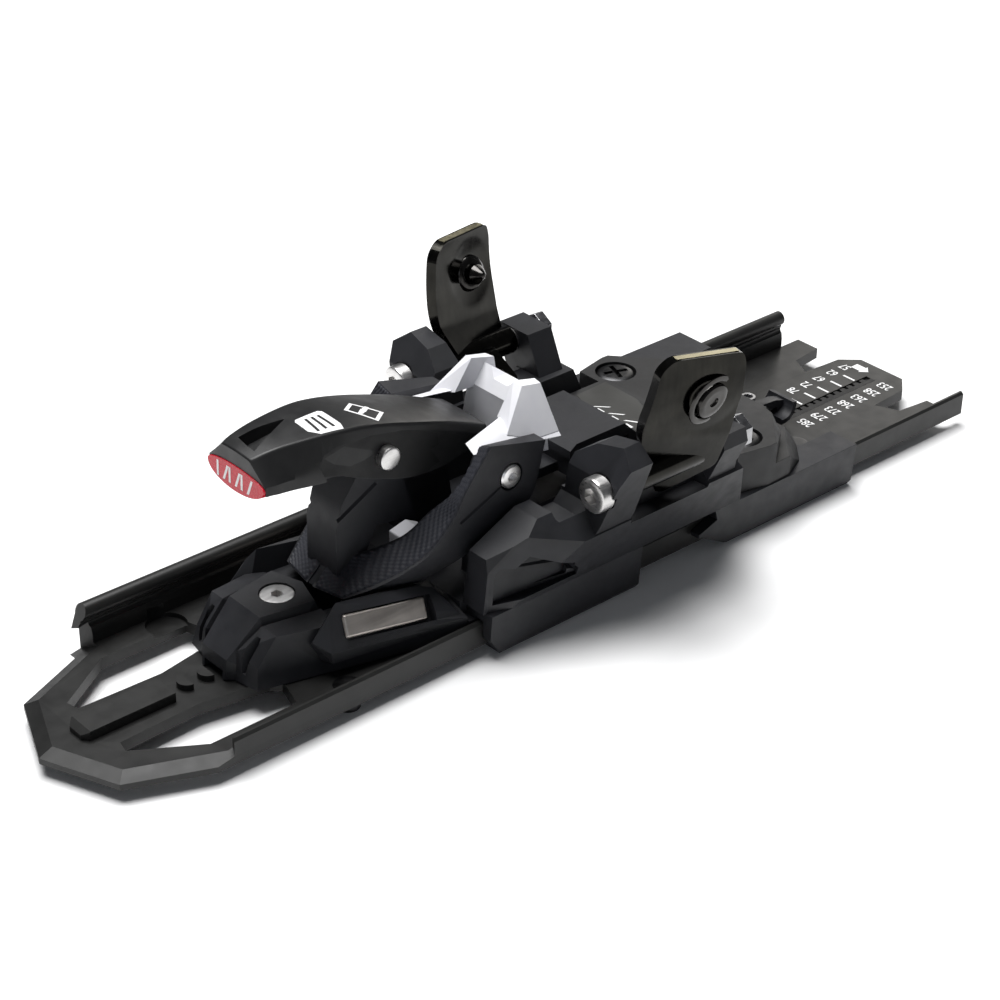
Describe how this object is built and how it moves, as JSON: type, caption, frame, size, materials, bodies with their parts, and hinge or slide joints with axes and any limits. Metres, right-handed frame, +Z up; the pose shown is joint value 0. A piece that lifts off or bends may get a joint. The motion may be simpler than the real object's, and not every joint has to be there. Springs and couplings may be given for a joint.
{
  "type": "touring binding",
  "caption": "Pin-type toe unit with a heel-side lever, two swinging steel jaws and a carriage that slides along a long base plate with a sole-length scale.",
  "frame": {"origin": "middle of the box's underside: halfway along the base plate, on its centre line, level with the ends of the mounting studs", "axes": "+X to the heel along the ski, +Y to the tall rail's side, +Z up"},
  "size_m": [0.275, 0.0956, 0.0683],
  "materials": {
    "moulded_plastic": "fine-grained moulded black",
    "deck_plastic": "satin black",
    "lever_plastic": "satin black, with textured grips",
    "black_steel": "blackened",
    "black_screw": "blackened, driven",
    "bright_screw": "zinc plated",
    "spring_steel": "drawn wire",
    "side_steel": "brushed along its length",
    "jaw_steel": "dark polished, warm tint",
    "pin_steel": "turned, dark",
    "white_plastic": "gloss white",
    "red_label": "printed label"
  },
  "bodies": {
    "base": {"base_plate": "moulded_plastic", "length_rack": "black_steel", "base_studs": "black_steel"},
    "carriage": {"slide_frame": "moulded_plastic", "nose_block": "moulded_plastic", "nose_screw": "bright_screw", "side_plates": "side_steel", "housing": "moulded_plastic", "deck_cover": "deck_plastic", "deck_screws": "black_screw", "jaw_axles": "bright_screw", "axle_nuts": "bright_screw", "yoke_screws": "bright_screw", "walk_stop": "white_plastic", "toggle_springs": "spring_steel", "pawl_pin": "bright_screw", "pawl_spring": "spring_steel"},
    "toggle": {"toggle_block": "black_steel"},
    "yoke": {"yoke_frame": "lever_plastic", "yoke_insert": "white_plastic", "lever_pin": "bright_screw"},
    "lever": {"lever_shell": "lever_plastic", "lever_end_badge": "red_label"},
    "jaw_near": {"near_jaw": "jaw_steel", "near_jaw_pin": "pin_steel"},
    "jaw_far": {"far_jaw": "jaw_steel", "far_jaw_pin": "pin_steel"},
    "pawl": {"length_pawl": "deck_plastic"}
  },
  "joints": [
    {"name": "sole_length", "type": "slide", "parent": "base", "child": "carriage", "axis": [1, 0, 0], "range_m": [-0.01066, 0.02665]},
    {"name": "yoke_tilt", "type": "hinge", "parent": "carriage", "child": "yoke", "pos_m": [-0.021, 0, 0.0399], "axis": [0, 1, 0], "range_deg": [0, 14]},
    {"name": "lever_lift", "type": "hinge", "parent": "yoke", "child": "lever", "pos_m": [-0.0486, 0, 0.0506], "axis": [0, 1, 0], "range_deg": [0, 50]},
    {"name": "far_jaw_swing", "type": "hinge", "parent": "carriage", "child": "jaw_far", "pos_m": [0.0155, 0.0355, 0.0372], "axis": [1, 0, 0], "range_deg": [0, 14]},
    {"name": "near_jaw_swing", "type": "hinge", "parent": "carriage", "child": "jaw_near", "pos_m": [0.0155, -0.0355, 0.0372], "axis": [1, 0, 0], "range_deg": [-14, 0]},
    {"name": "toggle_drop", "type": "slide", "parent": "carriage", "child": "toggle", "axis": [0, 0, -1], "range_m": [0, 0.0052], "deforming": ["toggle_springs"]},
    {"name": "pawl_lift", "type": "hinge", "parent": "carriage", "child": "pawl", "pos_m": [0.0745, 0, 0.0126], "axis": [0, 1, 0], "range_deg": [-12, 0], "stiffness_Nm_per_rad": 0.02}
  ],
  "couplings": [
    {"joint": "far_jaw_swing", "follows": "yoke_tilt", "ratio": 1},
    {"joint": "near_jaw_swing", "follows": "yoke_tilt", "ratio": -1},
    {"joint": "toggle_drop", "follows": "yoke_tilt", "m_per_rad": 0.021281}
  ]
}
